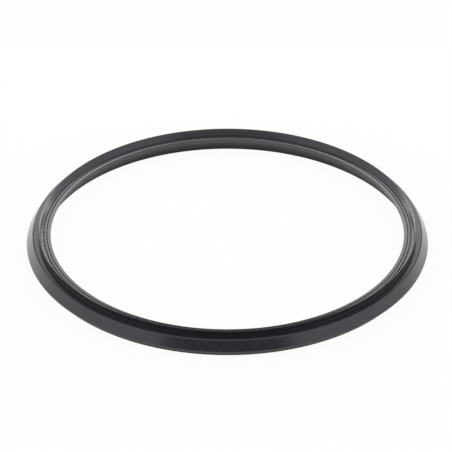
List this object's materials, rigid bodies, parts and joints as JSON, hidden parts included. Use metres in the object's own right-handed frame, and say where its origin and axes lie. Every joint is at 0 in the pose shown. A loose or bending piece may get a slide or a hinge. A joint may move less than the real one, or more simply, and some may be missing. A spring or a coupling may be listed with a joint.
{
  "type": "drum brake lip seal ring",
  "caption": "Moulded rubber ring that seals the gap between a drum brake's panel and its drum, with a flat foot, a sloping outer wall, a raised ridge and a thin inner lip.",
  "frame": {"origin": "centre of the ring on the plane of its foot", "axes": "+Z along the ring's axis, from the foot towards the ridge and the lip"},
  "size_m": [0.2, 0.2, 0.0118],
  "materials": {
    "seal_rubber": "satin moulded black rubber, faintly cool, with fine mould texture"
  },
  "bodies": {
    "root": {"seal_ring": "seal_rubber"}
  },
  "joints": []
}
